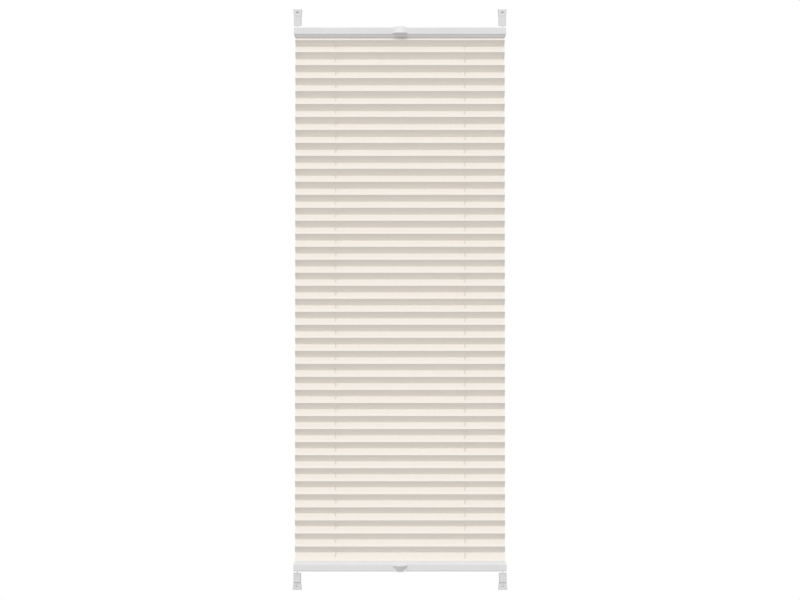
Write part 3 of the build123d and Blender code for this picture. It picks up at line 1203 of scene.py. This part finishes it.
@dataclass
class Hardware:
    """The rails and mouldings, with the slightly rounded edges that paint and moulds leave.

    Args:
        finishes: the blind's materials.
        edge: how wide an eased edge is.
        edge_steps: how many faces round an edge.
        sharp_angle: how far two faces turn, in degrees, where their edge is eased.
        smooth_angle: how far two faces turn, in degrees, where their shading still runs on.
        weld: how near two points are that become one.
        flat_angle: how far two faces turn, in degrees, that become one.
        plain_corners: how many corners a face may have and still not be filled anew.
        face_weight: how strongly wide faces rule the shading of their edges, from 1 to 100.
        wide_faced: the finishes of the pieces whose wide faces are filled anew.
        hidden: the finishes of the pieces inside the rails, whose edges stay as they are.
    """

    finishes: Finishes
    edge: float = 0.25 * MM
    edge_steps: int = 2
    sharp_angle: float = 32.0
    smooth_angle: float = 24.0
    weld: float = 0.005 * MM
    flat_angle: float = 0.4
    plain_corners: int = 4
    face_weight: int = 100
    wide_faced: tuple[Finish, ...] = (RAIL_COAT, HANDLE_PLASTIC)
    hidden: tuple[Finish, ...] = (GUIDE_PLASTIC, STRIP_PLASTIC)

    def cleaned(self, node: Object, filled: bool) -> Mesh:
        """A copy of a piece's mesh with its points merged and its flat faces whole.

        Args:
            node: the frame's piece.
            filled: whether its wide faces, which bend inwards, are filled with triangles.

        Returns:
            The cleaned mesh.
        """
        mesh = node.data.copy()
        mesh.shade_smooth()
        work = bmesh.new()
        work.from_mesh(mesh)
        bmesh.ops.remove_doubles(work, verts=work.verts, dist=self.weld)
        angle = math.radians(self.flat_angle)
        bmesh.ops.dissolve_limit(work, angle_limit=angle, verts=work.verts, edges=work.edges)
        if filled:
            wide = [face for face in work.faces if len(face.verts) > self.plain_corners]
            bmesh.ops.triangulate(work, faces=wide, ngon_method="EAR_CLIP")
        work.to_mesh(mesh)
        work.free()
        return mesh

    def softened(self, node: Object, filled: bool) -> Object:
        """A copy of a piece whose corners are eased.

        Args:
            node: the frame's piece.
            filled: whether its wide faces, which bend inwards, are filled with triangles.

        Returns:
            The copy, as a plain mesh at the origin.
        """
        holder = placed(f"{node.name}_eased", self.cleaned(node, filled))
        bevel = holder.modifiers.new("eased_edges", "BEVEL")
        bevel.width = self.edge
        bevel.segments = self.edge_steps
        bevel.limit_method = "ANGLE"
        bevel.angle_limit = math.radians(self.sharp_angle)
        bevel.use_clamp_overlap = True
        piece = frozen_mesh(f"{node.name}_beveled", holder)
        piece.data.set_sharp_from_angle(angle=math.radians(self.smooth_angle))
        flat = piece.modifiers.new("flat_faces", "WEIGHTED_NORMAL")
        flat.weight = self.face_weight
        flat.keep_sharp = True
        return frozen_mesh(f"{node.name}_moulding", piece)

    @staticmethod
    def finish_of(name: str) -> Finish | None:
        """The finish for what a node's name says it is, or none for the cloth and the cords."""
        kind = name.split("_", 1)[1]
        return next((finish for word, finish in HARDWARE.items() if word in kind), None)

    def build(self) -> None:
        """Dresses every rail, cap, guide, strip, handle and shoe."""
        bodies = frame["record"]["behaviour"]["bodies"]
        body_of = {node: body for body, nodes in bodies.items() for node in nodes}
        for name, node in list(frame["nodes"].items()):
            finish = self.finish_of(name)
            if finish is None:
                continue
            piece = node
            if finish not in self.hidden:
                piece = self.softened(node, finish in self.wide_faced)
                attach(piece, body_of[name])
                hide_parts(name)
            self.finishes.dress(piece, finish)
            log.info("%s: %s", piece.name, finish.name)


# ---- Studio


@dataclass(frozen=True)
class Lamp:
    """One broad, distant lamp.

    Args:
        name: the lamp's name.
        strength: how bright it is.
        softness: how wide it looks, in degrees.
        elevation: how high it stands, in degrees.
        azimuth: how far round it stands from straight in front, in degrees.
    """

    name: str
    strength: float
    softness: float
    elevation: float
    azimuth: float

    def hang(self) -> None:
        """Puts the lamp in the scene."""
        data = bpy.data.lights.new(self.name, "SUN")
        data.energy = self.strength
        data.angle = math.radians(self.softness)
        lamp = placed(self.name, data)
        turn = math.radians(self.azimuth)
        lamp.rotation_euler = (math.radians(90 - self.elevation), 0.0, turn)


LAMPS = (
    Lamp("window", strength=1.3, softness=28.0, elevation=31.0, azimuth=-12.0),
    Lamp("overhead", strength=0.3, softness=70.0, elevation=64.0, azimuth=-12.0),
    Lamp("back", strength=0.45, softness=60.0, elevation=35.0, azimuth=160.0),
)


@dataclass
class Studio:
    """A pale floor well below the hanging blind, soft light from above the front, and the camera.

    Args:
        distance: from the blind's front to the camera.
        camera_height: how high the camera stands against the blind's middle.
        aim_drop: how far below the blind's middle the camera is aimed.
        lens: the camera's focal length, in millimetres.
        sensor: the width of its sensor, in millimetres.
        far_clip: how far it sees.
        floor_drop: from the lower shoes down to the floor.
        floor_radius: how far the floor reaches.
        floor_sides: how many sides the floor's rim has.
        floor_colour: the floor's colour.
        floor_roughness: the floor's roughness.
        ambient: how brightly the surround lights the blind.
    """

    distance: float = 4.4
    camera_height: float = -0.1
    aim_drop: float = 0.0025
    lens: float = 104.3
    sensor: float = 36.0
    far_clip: float = 100.0
    floor_drop: float = 1.5
    floor_radius: float = 12.0
    floor_sides: int = 128
    floor_colour: Colour = (0.52, 0.52, 0.51)
    floor_roughness: float = 0.9
    ambient: float = 0.58

    def floor(self) -> None:
        """Lays the floor."""
        height = CAD_BOX[0].z - self.floor_drop
        mesh = bpy.data.meshes.new("floor")
        turns = [2 * math.pi * i / self.floor_sides for i in range(self.floor_sides)]
        radius = self.floor_radius
        rim = [(radius * math.cos(turn), radius * math.sin(turn), height) for turn in turns]
        mesh.from_pydata(rim, [], [tuple(range(self.floor_sides))])
        material = bpy.data.materials.new("floor_paint")
        material.use_nodes = True
        shader = material.node_tree.nodes["Principled BSDF"]
        shader.inputs["Base Color"].default_value = (*self.floor_colour, OPAQUE)
        shader.inputs["Roughness"].default_value = self.floor_roughness
        mesh.materials.append(material)
        placed("floor", mesh)

    def surround(self) -> None:
        """Sets a surround that looks white and lights the blind softly from all sides."""
        world = bpy.data.worlds.new("surround")
        bpy.context.scene.world = world
        world.use_nodes = True
        world.node_tree.nodes.clear()
        graph = Graph(world.node_tree)
        seen = graph.add("ShaderNodeBackground", {"Color": WHITE, "Strength": 1.0})
        soft = graph.add("ShaderNodeBackground", {"Color": WHITE, "Strength": self.ambient})
        direct = graph.add("ShaderNodeLightPath").outputs["Is Camera Ray"]
        mix = graph.add("ShaderNodeMixShader", {0: direct, 1: soft.outputs[0], 2: seen.outputs[0]})
        out = graph.add("ShaderNodeOutputWorld")
        graph.wire(mix.outputs[0], out.inputs[0])

    def camera(self) -> None:
        """Stands the camera in front of the blind, a little below its middle, looking up at it."""
        lens = bpy.data.cameras.new("camera")
        lens.lens = self.lens
        lens.sensor_width = self.sensor
        lens.clip_end = self.far_clip
        camera = placed("camera", lens)
        low, high = CAD_BOX
        place = Vector((0.0, low.y - self.distance, self.camera_height))
        aim = (low + high) / 2 - Vector((0.0, 0.0, self.aim_drop))
        camera.location = place
        camera.rotation_euler = (aim - place).to_track_quat("-Z", "Y").to_euler()
        bpy.context.scene.camera = camera

    def build(self) -> None:
        """Sets up the floor, the light and the camera."""
        self.floor()
        self.surround()
        for lamp in LAMPS:
            lamp.hang()
        self.camera()
        bpy.context.scene.view_settings.view_transform = "Standard"


def main() -> None:
    """Builds the blind's pieces in order and sets up the studio."""
    logging.basicConfig(level=logging.INFO, format="%(name)s: %(message)s")
    finishes = Finishes()
    Studio().build()
    strand_tree = cord_strand_tree()
    for side in Side:
        TensionCord(finishes, strand_tree, side).build()
    PleatedCloth(finishes, pleated_sheet_tree()).build()
    Hardware(finishes).build()


if __name__ == "__main__":
    main()
